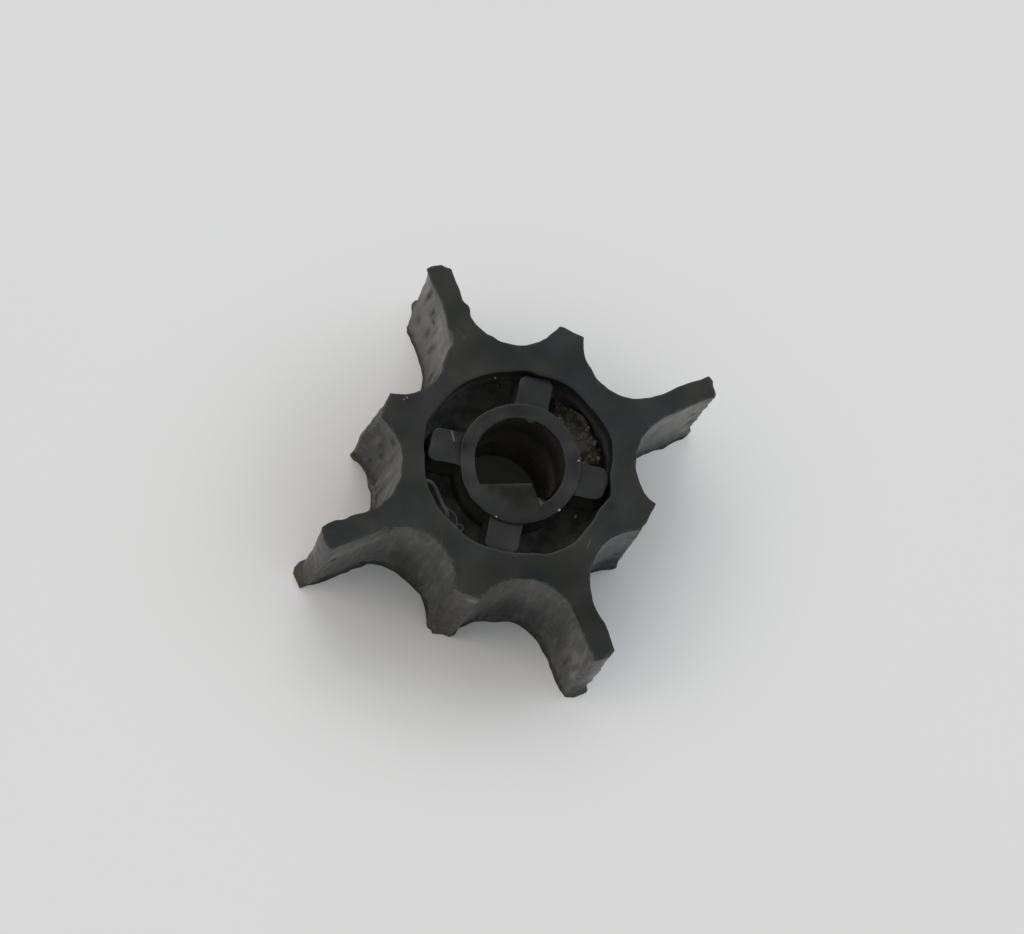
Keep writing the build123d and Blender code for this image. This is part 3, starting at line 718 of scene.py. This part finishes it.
# Insert: a tube with four lugs, and a flat across one side of its bore. Its edges are worn
# round, and at the upper mouth one end of the flat is broken away. Lengths in mm.
insert = dict(
    tubeTop=7.6, lugTop=7.3, boreRadius=4.25, boreLead=0.08,
    flatTurn=-110.0, flatDistance=1.88, flatLead=0.05, leadRound=1.0,
    chipStart=1.0, chipSlant=0.2, chipEnd=4.08, chipDepth=6.4, chipRagged=(0.06, 0.24),
    raggedMm=(0.7, 0.5),
    # in degrees from the flat's middle: the broken face's and the break's last columns, and
    # where columns crowd, as (how much, where, how wide)
    chipColumns=(21.0, 29.0, 66.0), crowds=[(3, 58, 7), (5, 25, 5)],
    lugEdge=0.2, tubeEdge=0.1, corner=0.1,
    nibble=0.05, nibbleMm=0.8, wave=0.05, waveMm=2.4, lift=0.03, liftMm=1.3,
    # where each starts and over how much it comes in, or with a minus goes out: dust with painted
    # fill light, and grease with painted shade, by depth in the bore; painted shade in the break by
    # degrees from the flat and by depth; dust with painted fill light on the outer wall by height;
    # and wear by height and by radius
    thinDustAndFill=0.08, dustAndFillFrom=(0.0, 0.3), dustAndFillFull=(3.5, 7.0), outerDustAndFill=0.2, dustAndFillBy=(-7.0, 3.0),
    shadeAndGreaseFrom=(0.0, 0.15), shadeAndGreaseTo=(3.4, 3.0),
    breakFrom=(8, 6), breakTo=(-72, 8), breakDepth=9, breakTop=(0.1, 0.2),
    wornFrom=(5.0, 2.0), wornOut=(3.0, 1.0),
    wallFrom=(0.1, 0.1), wallTo=(-0.3, 0.2),    # past the bore's radius and past the tube's
    columns=520, wallRows=16, bendRows=5, lugRows=9, stepRows=2, topRows=7, leadRows=9,
    boreRows=24,
    # worn places: where, how wide and how high, and the shift
    lumps=[
        (2.63, 3.3, 7.6, 0.3, 0.6, -0.2, -0.24),    # a burr at the bore's mouth
        (-5.2, 2, 7.6, 2.2, 3, 0.17, -0.05),
        (-4.6, -2.6, 7.6, 1.6, 3, 0.1, 0.05),
        (5.8, -6.1, 7, 1, 2, -0.16, 0.16),
        (7.6, -3.6, 7, 0.6, 2, -0.14, 0.02),
        (3.6, 7.9, 7, 0.6, 2, 0.05, -0.12),
        (-2.2, -7.6, 7, 0.5, 2, -0.05, 0.12),
    ],
    # marks: where, how wide and how high, and how pale (+) or how dark (-); the pale ones are
    # handling wear and partly painted light on the tube's top, the dark ones stains and painted shade
    # by the flat's mouth and beside the left lug
    marks=[
        (-4.49, 1.59, 7.6, 0.9, 1, 0.5), (-2.57, 4.35, 7.6, 0.8, 1, 0.35), (-4.6, -0.6, 7.6, 0.8, 1, 0.4),
        (4.68, -0.5, 7.6, 0.7, 1, 0.5), (3.6, -3.6, 7.6, 0.8, 1, 0.35), (3.1, 7.2, 7.3, 0.55, 1, 0.7),
        (-1.3, -3.6, 7.6, 1.5, 1, -0.75), (0.4, -4.6, 7.6, 1.1, 1, -0.6), (-1.2, 5.3, 7.6, 0.7, 1, -0.5),
        (-4.3, 3.6, 7.3, 0.6, 1, -0.9), (-2.1, -2.3, 7.6, 0.8, 1, -0.9), (-1.2, -2.5, 7.6, 0.8, 1, -1),
        (-0.2, -2.8, 7.6, 0.8, 1, -1), (-4, 4.6, 7.3, 0.45, 1, -0.9), (-7.1, 4.7, 7.3, 1, 1, 0.35),
        (2, 4.8, 7.6, 1.2, 1, -0.55), (5, -1.8, 7.6, 1, 1, -0.4), (-3.3, -1.2, 7.6, 0.6, 1, -0.9),
        (-2.4, -1.7, 7.6, 0.6, 1, -1), (-1.6, -2.1, 7.6, 0.6, 1, -1), (-0.6, -2.5, 7.6, 0.6, 1, -0.9),
        (6.9, -5, 7.3, 0.8, 1, 0.3), (-3.6, -6.6, 7.3, 1, 1, 0.3),
    ],
)


def offFlat(angle):
    # how far a direction is from the flat's middle, from -pi to pi
    return (angle - math.radians(insert["flatTurn"]) + math.pi) % (2 * math.pi) - math.pi


def insertAngles():
    # the columns' directions, closer together at the lugs' sides, the flat's ends and its break
    fine = np.linspace(-math.pi, math.pi, 7201)
    fromFlat = np.degrees(np.abs(offFlat(fine)))
    weight = 1 + besideLugs(fine - math.radians(lugs["firstTurn"]))
    for amount, middle, width in insert["crowds"]:
        weight = weight + amount * np.exp(-((fromFlat - middle) / width) ** 2)
    return crowdedTurns(fine, weight, insert["columns"])


def boreWall(angle, height, broken):
    # Radius and direction of the bore's wall: the smaller of the round wall's radius and the
    # flat's distance over the cosine, both with a lead at the mouth. Down to the break's depth,
    # columns run along the flat to the break, out along its face, and on round the wall.
    off, down = offFlat(angle) + 0 * height, insert["tubeTop"] - height
    lead = np.clip(1 - down / insert["boreLead"], 0, 1)
    wall = insert["boreRadius"] + insert["boreLead"] * (1 - np.sqrt(1 - lead ** 2))
    lead = np.clip(1 - down / insert["flatLead"], 0, 1)
    opened = blendTo(lead, 1 - np.sqrt(1 - lead ** 2), insert["leadRound"])
    distance = insert["flatDistance"] + insert["flatLead"] * opened
    flat = distance / np.maximum(np.cos(off), 0.05)
    near = np.clip(0.5 + (flat - wall) / (2 * insert["corner"]), 0, 1)
    radius = blendTo(flat, wall, near) - insert["corner"] * near * (1 - near)
    if broken:
        turns = np.radians(insert["chipColumns"])
        places = np.stack([2 * angle + 0 * height, height, 0 * off], -1)
        start, depth = (
            insert[size] + ragged * latticeNoise(places, cell, seed) for size, ragged, cell, seed
            in zip(("chipStart", "chipDepth"), insert["chipRagged"], insert["raggedMm"], (31, 32)))
        alongFlat, alongFace, alongWall = (
            np.clip((off - first) / (last - first), 0, 1)
            for first, last in ((0, turns[0]), (turns[0], turns[1]), (turns[1], turns[2])))
        n = blendTo(distance, insert["chipEnd"], alongFace)
        t = start * alongFlat + insert["chipSlant"] * alongFace
        wallTurn = blendTo(np.arctan2(t, n), turns[2], alongWall)
        onWall = off > turns[1]
        gone = (off > 0) & (off < turns[2]) & (down < depth)
        radius = np.where(gone, np.where(onWall, wall, np.hypot(n, t)), radius)
        off = np.where(gone, np.where(onWall, wallTurn, np.arctan2(t, n)), off)
    return radius, off + math.radians(insert["flatTurn"])


def insertHalf(angle, broken):
    # from mid width up the outer wall, round a lug's edge and along its end, up the tube and
    # over its edge and end, and down the bore to mid width: radius, height and direction
    reach, tube = lugOutline(angle)[None], rubber["tubeRadius"]
    top, lugTop, tubeEdge = insert["tubeTop"], insert["lugTop"], insert["tubeEdge"]
    lugEdge = np.minimum(insert["lugEdge"], (reach - tube) / 2)
    bend = np.linspace(0, math.pi / 2, insert["bendRows"] + 1)[1:, None]
    up = np.linspace(0, 1, insert["wallRows"])[:, None]
    inward, step, over, lead, down = (
        steps(insert[rows]) for rows in ("lugRows", "stepRows", "topRows", "leadRows", "boreRows"))
    column = (offFlat(angle) + math.radians(insert["flatTurn"]))[None]
    mouth, mouthTurn = boreWall(angle[None], top + 0 * angle[None], broken)
    leadEnd = top - insert["flatLead"]
    boreHeight = np.concatenate([top - insert["flatLead"] * lead ** 1.6, leadEnd * (1 - down)])
    boreHeight = boreHeight + 0 * angle
    boreRadius, boreTurn = boreWall(angle[None], boreHeight, broken)
    return joinRows(angle, [
        (reach, (lugTop - lugEdge) * up, column),
        (reach - lugEdge * (1 - np.cos(bend)), lugTop - lugEdge * (1 - np.sin(bend)), column),
        (blendTo(reach - lugEdge, tube, inward), lugTop, column),
        (tube, blendTo(lugTop, top - tubeEdge, step), column),
        (tube - tubeEdge * (1 - np.cos(bend)), top - tubeEdge * (1 - np.sin(bend)), column),
        (blendTo(tube - tubeEdge, mouth, over), top, blendTo(column, mouthTurn, over)),
        (boreRadius, boreHeight, boreTurn)])


def insertGrid():
    # the upper half's rows and the lower half's make one closed loop in every direction
    angle = insertAngles()
    halves = zip(insertHalf(angle, True), insertHalf(angle, False), (1, -1, 1))
    radius, height, turn = (np.concatenate([upper, side * lower[-2::-1]])
                            for upper, lower, side in halves)
    points = polar(radius, turn, height)
    points[:, -1] = points[:, 0]
    # dust and painted fill light make the deep bore and the tube's outer wall pale, and grease
    # with painted shade darkens the bore's mouth and the flat's lead
    inside = 1 - rise(radius - insert["boreRadius"], *insert["wallFrom"])
    outside = rise(radius - rubber["tubeRadius"], *insert["wallTo"])
    depth = insert["tubeTop"] - height
    bore = inside * np.maximum(rise(depth, *insert["dustAndFillFull"]),
                               insert["thinDustAndFill"] * rise(depth, *insert["dustAndFillFrom"]))
    bore = np.maximum(bore, insert["outerDustAndFill"] * outside
                      * rise(-np.abs(height), *insert["dustAndFillBy"]))
    # painted shade, with some grease: the bore's mouth and the flat's lead are darkened where light reaches
    # them
    dark = inside * rise(depth, *insert["shadeAndGreaseFrom"]) * (1 - rise(depth, *insert["shadeAndGreaseTo"]))
    # painted shade lies dark where the flat is broken
    off = np.degrees(offFlat(turn))
    broken = inside * rise(off, *insert["breakFrom"]) * rise(-off, *insert["breakTo"])
    broken = broken * (depth < insert["breakDepth"]) * rise(depth, *insert["breakTop"])
    bore, dark = bore * (1 - broken), np.maximum(dark, broken)
    pale = strongest(points, insert["marks"])
    dark = np.maximum(dark, strongest(points, insert["marks"], -1))
    # nibbled edges, a slight waviness, and the worn places
    end = rise(np.abs(height), *insert["wornFrom"])
    shift = shiftNoise(points, insert["nibbleMm"], (21, 22)) * insert["nibble"]
    shift = shift + shiftNoise(points, insert["waveMm"], (23, 24)) * insert["wave"]
    shift *= (end * rise(radius, *insert["wornOut"]))[..., None]
    pushBy(shift, points, insert["lumps"])
    lift = insert["lift"] * latticeNoise(points, insert["liftMm"], 25) * end
    points[..., :2] += shift
    points[..., 2] += lift
    points = np.clip(points, cadLow, cadHigh)
    points[:, -1] = points[:, 0]
    return points, np.stack([bore, pale, dark], -1)


insertMaskNames = ["bore", "pale", "dark"]


def mouldedInsert():
    # Glass-filled nylon, injection moulded: charcoal and satin, with a cool grey cast. Dust has
    # dulled the bore, and deep in it and on the tube's outer wall a pale colour is dust and painted
    # fill light; the bore's mouth, the flat's lead and the break are darkened with grease and
    # painted shade; and pale and brown patches are partly handling marks, partly painted light and
    # shade.
    look = dict(
        grey="#0e100f", faded="#171918", rubbedAndPaintedLight="#5f5e58", stainAndShade="#0d0b07", boreDustAndFill="#989389",
        mottleMm=2.5, grainMm=0.25, patchMm=0.9, detail=4.0, fractal=0.6,
        roughness=0.44, dirtRoughness=0.7, stainRoughness=0.28, bump=0.3, bumpMm=0.04,
        ior=1.5, specular=0.42,
    )
    material, tree, _, noises, fields = newMaterial(
        "mouldedInsert", look, ("mottle", "grain", "patch"), insertMaskNames)
    (mottle, grain, patch), (bore, pale, dark) = noises, fields
    color = paintLayers(tree, look, "grey", (
        # the pale patches: handling wear, and partly painted light across the tube's top
        ("faded", None, mottle, 0.0, 1.0, 1.0), ("rubbedAndPaintedLight", pale, patch, 0.1, 0.7, 0.35),
        # the pale bore colour: dust, and painted fill light in the bore's depth and on the shaded outer wall
        ("stainAndShade", dark, patch, 0.1, 0.5, 1.0), ("boreDustAndFill", bore, mottle, 0.0, 0.6, 1.0)))
    roughness = look["roughness"]
    for share, to in ((bore, "dirtRoughness"), (dark, "stainRoughness")):
        roughness = addNode(tree, "Mix", {"data_type": "FLOAT", mixShare: share,
                                          valueA: roughness, valueB: look[to]})
    finishMaterial(tree, look, grain, {"IOR": look["ior"], "Specular IOR Level": look["specular"],
                                       "Base Color": color, "Roughness": roughness})
    return material


insertPiece = meshPiece("moulded_hub_insert", [insertGrid()], insertMaskNames,
                        mouldedInsert())
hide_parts("hub_insert")


# Torn skin that hangs in the recess's mouth, and pale slivers: half the width and half the
# thickness of each, how pale it is, and its path, in mm
strands = dict(
    steps=90, around=10, smoothings=60,
    pieces=[
        (0.22, 0.05, 0.0, [(-8.7, 1.9, 7.2), (-8.1, 1.5, 7.0), (-8.0, 0.8, 6.9), (-8.02, -0.3, 6.9),
                           (-7.97, -1.2, 7.0), (-7.9, -1.8, 7.1), (-8.4, -2.3, 7.1)]),
        (0.05, 0.04, 0.1, [(-8.5, -0.9, 7.3), (-7.95, -1.3, 7.45), (-7.55, -1.8, 7.5),
                           (-7.4, -2.4, 7.5), (-7.5, -2.9, 7.45), (-7.9, -3.25, 7.4),
                           (-8.5, -3.3, 7.3)]),
        (0.045, 0.035, 0.1, [(-8.2, -3.2, 7.4), (-7.6, -3.15, 7.5), (-7.25, -3.3, 7.55),
                             (-7.2, -3.6, 7.55), (-7.4, -3.8, 7.5), (-7.8, -3.9, 7.5),
                             (-8.4, -4.1, 7.4)]),
        (0.07, 0.05, 0.2, [(2.29, -9.82, 7.93), (2.8, -9.35, 7.95), (3.43, -8.76, 7.93)]),
        # a raised sliver along the left lug's small step; its paleness is a painted highlight along that
        # edge
        (0.09, 0.05, 0.35, [(-4.52, 5.2, 7.3), (-4.62, 4.65, 7.33), (-4.74, 4.06, 7.3)]),
    ],
)


def strandGrid(halfWide, halfThick, path):
    # an oval carried along a path, square to it: the path is smoothed by averaging each
    # point with its neighbours, and the oval shrinks to nothing at both ends
    path = np.array(path)
    share = np.linspace(0, 1, strands["steps"])
    curve = np.stack([np.interp(share * (len(path) - 1), np.arange(len(path)), path[:, axis])
                      for axis in range(3)], -1)
    for _ in range(strands["smoothings"]):
        curve[1:-1] = curve[1:-1] / 2 + (curve[:-2] + curve[2:]) / 4
    along = np.gradient(curve, axis=0)
    along /= np.linalg.norm(along, axis=1, keepdims=True)
    across = np.cross(along, (0, 0, 1))
    across /= np.linalg.norm(across, axis=1, keepdims=True)
    upward = np.cross(across, along)
    size = np.sqrt(1 - (2 * share - 1) ** 6)[:, None, None]
    around = np.linspace(0, 2 * math.pi, strands["around"])[None, :, None]
    points = curve[:, None] + size * (halfWide * np.cos(around) * across[:, None]
                                      + halfThick * np.sin(around) * upward[:, None])
    points[:, -1] = points[:, 0]
    return np.clip(points, cadLow, cadHigh)


def strandGrids():
    # all the strands, which have no mask but how pale they are
    grids = []
    for halfWide, halfThick, pale, path in strands["pieces"]:
        points = strandGrid(halfWide, halfThick, path)
        masks = np.zeros(points.shape[:2] + (len(rubberMaskNames),))
        masks[..., rubberMaskNames.index("pale")] = pale
        grids.append((points, masks))
    return grids


meshPiece("torn_skin", strandGrids(), rubberMaskNames,
          rubberPiece.data.materials[0], 180)


# Dried silt, packed as a low mound into the pocket between two lugs. Lengths in mm.
silt = dict(
    fromTurn=-21.5, toTurn=40.0, inner=5.6, outer=8.78, floor=2.5, columns=120, rows=50,
    # each heap: direction, radius, spread in degrees and mm, and height
    heaps=[(2.0, 7.3, 17.0, 1.4, 1.3), (27.0, 6.3, 9.0, 1.0, 2.2), (-15.0, 7.7, 6.0, 0.8, 1.2),
           (16.0, 8.4, 9.0, 0.5, 1.4)],
    least=0.3, rough=0.38, roughMm=0.75, grainy=0.05, grainyMm=0.25,
    greyFrom=(14, 10), greyTo=(6.6, 0.8),    # where it is grey, by direction and by radius
)


def siltHeight(turn, radius):
    # a sum of bells, made uneven by two sizes of noise, and nothing at the pocket's edges
    height = silt["least"] + 0 * radius * turn
    for heapTurn, heapRadius, spread, width, rise in silt["heaps"]:
        height += rise * np.exp(-((turn - heapTurn) / spread) ** 2
                                - ((radius - heapRadius) / width) ** 2)
    flat = polar(radius, np.radians(turn), 0)
    height += silt["rough"] * latticeNoise(flat, silt["roughMm"], 41)
    height += silt["grainy"] * latticeNoise(flat, silt["grainyMm"], 42)
    across = (radius - silt["inner"]) / (silt["outer"] - silt["inner"]) * 2 - 1
    along = (turn - silt["fromTurn"]) / (silt["toTurn"] - silt["fromTurn"]) * 2 - 1
    window = (1 - np.clip(across, -1, 1) ** 10) * (1 - np.clip(along, -1, 1) ** 10)
    return silt["floor"] + window * np.maximum(height, 0)


def siltGrid():
    # the mound's top, then back along a flat underside that is sunk in the web
    turn = np.linspace(silt["fromTurn"], silt["toTurn"], silt["columns"])[None]
    radius = np.linspace(silt["inner"], silt["outer"], silt["rows"])[:, None]
    top = siltHeight(turn, radius)
    height = np.concatenate([top, 0 * top[::-1] + silt["floor"]])
    radius = np.concatenate([radius, radius[::-1]]) + 0 * height
    grey = rise(turn, *silt["greyFrom"]) * (1 - rise(radius, *silt["greyTo"]))
    return polar(radius, np.radians(turn), height), np.stack([grey, 0 * grey, 0 * grey], -1)


# Grit: loose grains, each (x, y, z, size, how pale, how red), and more of them by chance
grit = dict(
    placed=[
        (8.20, 1.20, 3.9, 0.17, 1.0, 0.0), (8.10, -0.38, 4.0, 0.15, 1.0, 0.0),
        (7.88, -1.76, 3.9, 0.22, 1.0, 0.0), (5.20, -1.80, 7.6, 0.12, 0.45, 0.0),
        (5.45, -1.62, 7.5, 0.08, 0.3, 0.0), (1.66, -5.37, 7.6, 0.11, 0.5, 0.0),
        (4.04, -5.79, 2.8, 0.16, 0.9, 0.0), (-4.00, -3.81, 7.6, 0.08, 0.3, 0.0),
        (1.40, 8.30, 6.6, 0.12, 0.4, 0.0), (-7.31, 9.38, 7.93, 0.14, 0.5, 0.95),
        (-7.62, 9.30, 7.95, 0.08, 0.2, 0.8), (2.30, 8.10, 2.9, 0.12, 0.5, 0.3),
    ],
    chance=70, sizes=(0.05, 0.17), rows=7, columns=9, seed=51, squash=0.75,
    stretch=(0.75, 1.3), lumpy=0.25, lumpyShare=0.8,
    turnMargin=(3, 4), radiusMargin=(0.4, 0.25), proud=0.3, palest=0.7,
)


def gritGrids():
    # each grain is a sphere, squashed and made lumpy: centre + size * (1 + noise) * direction
    draw = np.random.default_rng(grit["seed"])
    (fromTurn, toTurn), (inner, outer) = grit["turnMargin"], grit["radiusMargin"]
    turn = draw.uniform(silt["fromTurn"] + fromTurn, silt["toTurn"] - toTurn, grit["chance"])
    radius = draw.uniform(silt["inner"] + inner, silt["outer"] - outer, grit["chance"])
    size = draw.uniform(*grit["sizes"], grit["chance"])
    height = siltHeight(turn, radius) + grit["proud"] * size
    pale = draw.uniform(0, grit["palest"], grit["chance"]) ** 2
    scattered = np.column_stack([polar(radius, np.radians(turn), height), size, pale, 0 * size])
    around = np.linspace(0, 2 * math.pi, grit["columns"])
    rise = np.linspace(-math.pi / 2, math.pi / 2, grit["rows"])[:, None]
    direction = polar(np.cos(rise), around, grit["squash"] * np.sin(rise))
    direction[:, -1] = direction[:, 0]
    grids = []
    for x, y, z, size, pale, red in np.concatenate([np.array(grit["placed"]), scattered]):
        stretch = draw.uniform(*grit["stretch"], 3)
        noise = latticeNoise(direction + x, grit["lumpyShare"], 52)[..., None]
        lumpy = 1 + grit["lumpy"] * noise
        points = np.clip((x, y, z) + size * direction * lumpy * stretch, cadLow, cadHigh)
        grids.append((points, np.zeros(points.shape[:2] + (3,)) + (pale, red, 1)))
    return grids


# how grey the mound is, or how pale and how red a grain is, and 1 on a grain
siltMaskNames = ["first", "second", "grain"]


def driedSilt():
    # Silt and grit out of the water, dried on: matt, olive brown and grey, coarse and clotted,
    # with grains from dark to nearly white, and one red fleck of paint.
    look = dict(
        olive="#6e6b5b", grey="#7d7c77", dark="#3d3c34", pale="#a39f92", red="#7d4a54",
        clotMm=0.9, grainMm=0.22, detail=4.0, fractal=0.65, roughness=0.9, bump=0.6, bumpMm=0.1,
    )
    material, tree, _, (clot, grain), (first, second, isGrain) = newMaterial(
        "driedSilt", look, ("clot", "grain"), siltMaskNames)
    packed = paintLayers(tree, look, "olive", (
        ("grey", None, first, 0.0, 1.0, 1.0), ("dark", None, clot, 0.42, 0.68, 1.0),
        ("dark", None, grain, 0.6, 0.95, 1.0)))
    # a grain takes its own shade between olive and pale, and red where it is paint
    own = paintLayers(tree, look, "olive", (
        ("pale", None, first, 0.0, 1.0, 1.0), ("red", None, second, 0.0, 1.0, 1.0)))
    color = addNode(tree, "Mix",
                    {"data_type": "RGBA", mixShare: isGrain, colorA: packed, colorB: own})
    finishMaterial(tree, look, grain, {"Roughness": look["roughness"], "Base Color": color})
    return material


siltMaterial = driedSilt()
for name, grids in (("packed_silt", [siltGrid()]), ("loose_grit", gritGrids())):
    meshPiece(name, grids, siltMaskNames, siltMaterial, 180)


# Table: a pale board, on which the impeller's shadow is an oval
table = dict(
    size=3000.0, pale="#dadbdb", warm="#d8d8d7", shaded="#bcbcba", roughness=0.9,
    mottleMm=90.0, detail=3.0, fractal=0.5,
    # the shadow: its middle, its half widths, and where between them it starts and ends
    shadowAt=(-3.2, -2.5), shadowTurn=75.6, shadowSize=(16.3, 20.5), shadow=(0.42, 2.03),
    # how far from the axis the shade under the impeller and that under its bore end
    under=(9.5, 12.5), bore=(5.0, 7.5),
)


def layTable():
    half, level = table["size"] / 2000, cadLow[2] / 1000
    mesh = bpy.data.meshes.new("table_top")
    corners = [(x * half, y * half, level) for x, y in ((-1, -1), (1, -1), (1, 1), (-1, 1))]
    mesh.from_pydata(corners, [], [(0, 1, 2, 3)])
    material, tree, place, (mottle,), _ = newMaterial("paintedBoard", table, ("mottle",))
    color = paintLayers(tree, table, "pale", [("warm", None, mottle, 0.0, 1.0, 1.0)])
    reach = addNode(tree, "VectorMath", {"operation": "LENGTH", 0: place})
    outside, clear = (
        addNode(tree, "MapRange",
                {"From Min": math.hypot(first / 1000, level),
                 "From Max": math.hypot(last / 1000, level), "Value": reach})
        for first, last in (table["under"], table["bore"]))
    # painted shade: near the axis, under the bore, the board's colour is the darker shaded one
    shadedBoard = addNode(tree, "Mix",
                  {"data_type": "RGBA", mixShare: clear, colorA: linearColor(table["shaded"]),
                   colorB: color})
    shader = addNode(tree, "BsdfPrincipled", {"Roughness": table["roughness"], "Base Color": shadedBoard})
    # away from the impeller the board is evenly pale, and in the oval light falls on it
    middle = Vector((*table["shadowAt"], 1000 * level)) / 1000
    spread = Vector((*table["shadowSize"], 1000)) / 1000
    oval = addNode(tree, "Mapping",
                   {"vector_type": "TEXTURE", "Location": middle, "Scale": spread,
                    "Rotation": (0, 0, math.radians(table["shadowTurn"])), "Vector": place})
    away = addNode(tree, "VectorMath", {"operation": "LENGTH", 0: oval})
    start, end = table["shadow"]
    share = addNode(tree, "MapRange",
                    {"interpolation_type": "SMOOTHSTEP", "From Min": start, "From Max": end,
                     "Value": away})
    shown = addNode(tree, "Emission", {"Strength": 1.0, "Color": color})
    seen = addNode(tree, "LightPath").outputs["Is Camera Ray"]
    for other in (outside, seen):
        share = addNode(tree, "Math", {"operation": "MULTIPLY", 0: share, 1: other})
    surface = addNode(tree, "MixShader", {0: share, 1: shader, 2: shown})
    addNode(tree, "OutputMaterial", {"Surface": surface})
    mesh.materials.append(material)
    addObject("table_top", mesh)


# Light: a neutral lamp at the far edge, a warm and a cool one at its sides, all soft, and a
# world that is bright all round and dim overhead. Turns in degrees, lengths in mm.
lights = dict(
    ceiling=0.2, surround=0.85, bright=0.70, dim=0.95, world="#f8fafc",
    lampSize=900, distance=1500,
    lamps=[("farLamp", 78, 48, 6.3, "#fffdf8"),     # name, turn, elevation, watts and colour
           ("warmLamp", 150, 33, 6.0, "#fff0de"), ("coolLamp", -10, 33, 4.6, "#e2eeff")],
)


def setLights():
    world = bpy.data.worlds.new("studio")
    bpy.context.scene.world = world
    world.use_nodes = True
    tree = world.node_tree
    tree.nodes.clear()
    # the strength goes by the sine of the elevation
    place = addNode(tree, "TexCoord").outputs["Generated"]
    upward = addNode(tree, "SeparateXYZ", {0: place}).outputs["Z"]
    strength = addNode(tree, "MapRange",
                       {"interpolation_type": "SMOOTHSTEP", "From Min": lights["bright"],
                        "From Max": lights["dim"], "To Min": lights["surround"],
                        "To Max": lights["ceiling"], "Value": upward})
    background = addNode(tree, "Background",
                         {"Color": linearColor(lights["world"]), "Strength": strength})
    addNode(tree, "OutputWorld", {"Surface": background})
    for name, turn, elevation, watts, color in lights["lamps"]:
        data = bpy.data.lights.new(name, "AREA")
        data.size, data.energy = lights["lampSize"] / 1000, watts
        data.color = linearColor(color)[:3]
        turn, up = math.radians(turn), math.radians(elevation)
        light = addObject(name, data)
        direction = Vector(polar(math.cos(up), turn, math.sin(up)))
        light.location = direction * lights["distance"] / 1000
        light.rotation_euler = light.location.to_track_quat("Z", "Y").to_euler()


layTable()
setLights()
bpy.context.scene.view_settings.view_transform = "Standard"

print("stage: finished")
